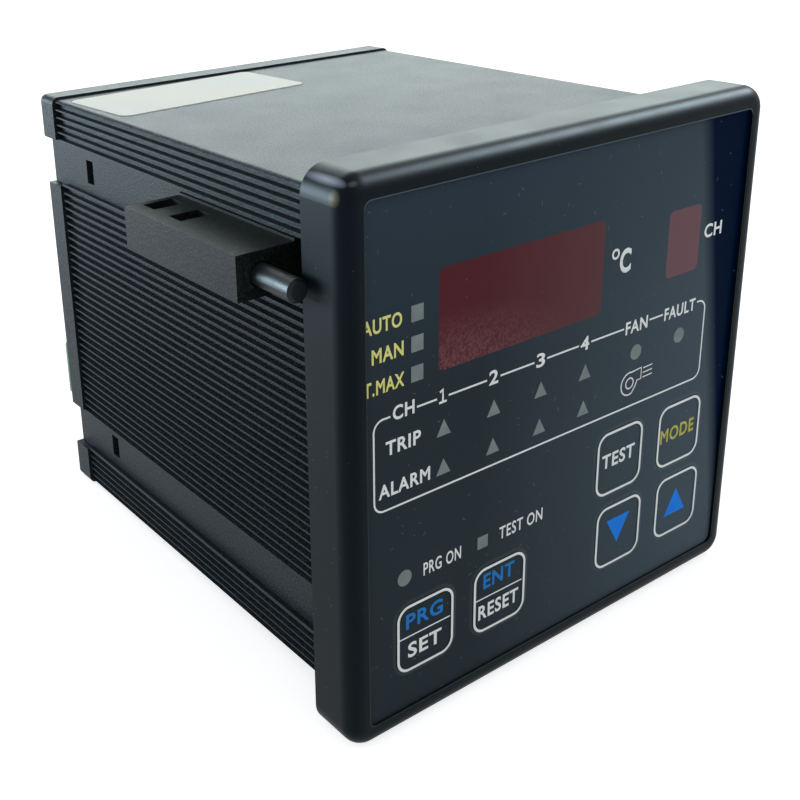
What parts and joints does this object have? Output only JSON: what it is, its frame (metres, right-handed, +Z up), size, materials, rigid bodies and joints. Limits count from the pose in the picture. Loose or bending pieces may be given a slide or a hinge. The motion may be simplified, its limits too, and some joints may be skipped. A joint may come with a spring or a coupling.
{
  "type": "temperature controller",
  "caption": "Square panel-mount temperature controller for power transformers: keypad front with display windows, ribbed housing, screw clamps and pull-off rear terminals.",
  "frame": {"origin": "centre of the front bezel's rear face, which lies on the mounting panel", "axes": "+Y points into the panel, from the front to the terminals; the front faces -Y; +Z is up; +X is to the right of someone who looks at the front"},
  "size_m": [0.1134, 0.1256, 0.1],
  "materials": {
    "bezel_plastic": "satin, moulded",
    "keypad_film": "satin polyester film",
    "red_filter": "clear dark red, smooth",
    "lamp_film": "translucent grey, unlit",
    "circuit_board": "lacquered glass-fibre board",
    "steel": "zinc plated",
    "black_plastic": "moulded",
    "digit_segments": "unlit segments",
    "diode_resin": "clear resin",
    "housing_plastic": "fine spark-eroded grain",
    "label_paper": "blank adhesive paper",
    "core_steel": "laminated steel",
    "coil_copper": "enamelled copper wire",
    "capacitor_can": "black sleeve over an aluminium can",
    "relay_case": "moulded",
    "plug_plastic": "moulded",
    "clamp_plastic": "coarse grain"
  },
  "bodies": {
    "controller": {"front_bezel": "bezel_plastic", "front_film": "keypad_film", "temperature_window": "red_filter", "channel_window": "red_filter", "lamp_windows": "lamp_film", "display_board": "circuit_board", "display_board_screws": "steel", "temperature_display": "black_plastic", "temperature_digits": "digit_segments", "channel_display": "black_plastic", "channel_digit": "digit_segments", "indicator_diodes": "diode_resin", "key_switches": "black_plastic", "housing_tube": "housing_plastic", "rear_cover": "housing_plastic", "cover_screws": "steel", "blank_label": "label_paper", "upper_board": "circuit_board", "controller_chip": "black_plastic", "converter_chip": "black_plastic", "quartz_crystal": "steel", "upper_link_header": "black_plastic", "lower_board": "circuit_board", "lower_link_header": "black_plastic", "transformer_core": "core_steel", "transformer_coil": "coil_copper", "main_capacitor": "capacitor_can", "small_capacitors": "capacitor_can", "voltage_regulator": "black_plastic", "relay_alarm": "relay_case", "relay_trip": "relay_case", "relay_fan": "relay_case", "relay_fault": "relay_case", "relay_socket": "black_plastic", "sensor_socket": "black_plastic", "supply_socket": "black_plastic", "socket_pins": "steel"},
    "key_program": {"key_program": "keypad_film"},
    "key_enter": {"key_enter": "keypad_film"},
    "key_test": {"key_test": "keypad_film"},
    "key_mode": {"key_mode": "keypad_film"},
    "key_down": {"key_down": "keypad_film"},
    "key_up": {"key_up": "keypad_film"},
    "relay_plug": {"relay_plug": "plug_plastic", "relay_plug_screws": "steel"},
    "sensor_plug": {"sensor_plug": "plug_plastic", "sensor_plug_screws": "steel"},
    "supply_plug": {"supply_plug": "plug_plastic", "supply_plug_screws": "steel"},
    "clamp_left": {"clamp_left": "clamp_plastic"},
    "clamp_left_nose": {"clamp_left_nose": "clamp_plastic"},
    "clamp_left_screw": {"clamp_left_screw": "steel"},
    "clamp_right": {"clamp_right": "clamp_plastic"},
    "clamp_right_nose": {"clamp_right_nose": "clamp_plastic"},
    "clamp_right_screw": {"clamp_right_screw": "steel"}
  },
  "joints": [
    {"name": "key_program_press", "type": "slide", "parent": "controller", "child": "key_program", "axis": [0, 1, 0], "range_m": [0, 0.0003], "stiffness_N_per_m": 2000, "springref_m": -0.0003},
    {"name": "key_enter_press", "type": "slide", "parent": "controller", "child": "key_enter", "axis": [0, 1, 0], "range_m": [0, 0.0003], "stiffness_N_per_m": 2000, "springref_m": -0.0003},
    {"name": "key_test_press", "type": "slide", "parent": "controller", "child": "key_test", "axis": [0, 1, 0], "range_m": [0, 0.0003], "stiffness_N_per_m": 2000, "springref_m": -0.0003},
    {"name": "key_mode_press", "type": "slide", "parent": "controller", "child": "key_mode", "axis": [0, 1, 0], "range_m": [0, 0.0003], "stiffness_N_per_m": 2000, "springref_m": -0.0003},
    {"name": "key_down_press", "type": "slide", "parent": "controller", "child": "key_down", "axis": [0, 1, 0], "range_m": [0, 0.0003], "stiffness_N_per_m": 2000, "springref_m": -0.0003},
    {"name": "key_up_press", "type": "slide", "parent": "controller", "child": "key_up", "axis": [0, 1, 0], "range_m": [0, 0.0003], "stiffness_N_per_m": 2000, "springref_m": -0.0003},
    {"name": "relay_plug_pull", "type": "slide", "parent": "controller", "child": "relay_plug", "axis": [0, 1, 0], "range_m": [0, 0.0082]},
    {"name": "sensor_plug_pull", "type": "slide", "parent": "controller", "child": "sensor_plug", "axis": [0, 1, 0], "range_m": [0, 0.0082]},
    {"name": "supply_plug_pull", "type": "slide", "parent": "controller", "child": "supply_plug", "axis": [0, 1, 0], "range_m": [0, 0.0082]},
    {"name": "clamp_left_slide", "type": "slide", "parent": "controller", "child": "clamp_left", "axis": [0, 1, 0], "range_m": [-0.007, 0.0567]},
    {"name": "clamp_left_nose_slide", "type": "slide", "parent": "clamp_left", "child": "clamp_left_nose", "axis": [0, 1, 0], "range_m": [-0.004, 0.01]},
    {"name": "clamp_left_screw_turn", "type": "hinge", "parent": "clamp_left_nose", "child": "clamp_left_screw", "pos_m": [-0.0523, 0.0336, 0.0318], "axis": [0, 1, 0], "range_deg": [-2300, 5400]},
    {"name": "clamp_right_slide", "type": "slide", "parent": "controller", "child": "clamp_right", "axis": [0, 1, 0], "range_m": [-0.007, 0.0567]},
    {"name": "clamp_right_nose_slide", "type": "slide", "parent": "clamp_right", "child": "clamp_right_nose", "axis": [0, 1, 0], "range_m": [-0.004, 0.01]},
    {"name": "clamp_right_screw_turn", "type": "hinge", "parent": "clamp_right_nose", "child": "clamp_right_screw", "pos_m": [0.0523, 0.0336, -0.0318], "axis": [0, 1, 0], "range_deg": [-2300, 5400]}
  ],
  "couplings": [
    {"joint": "clamp_left_screw_turn", "follows": "clamp_left_nose_slide", "rad_per_m": 8976},
    {"joint": "clamp_right_screw_turn", "follows": "clamp_right_nose_slide", "rad_per_m": 8976}
  ]
}
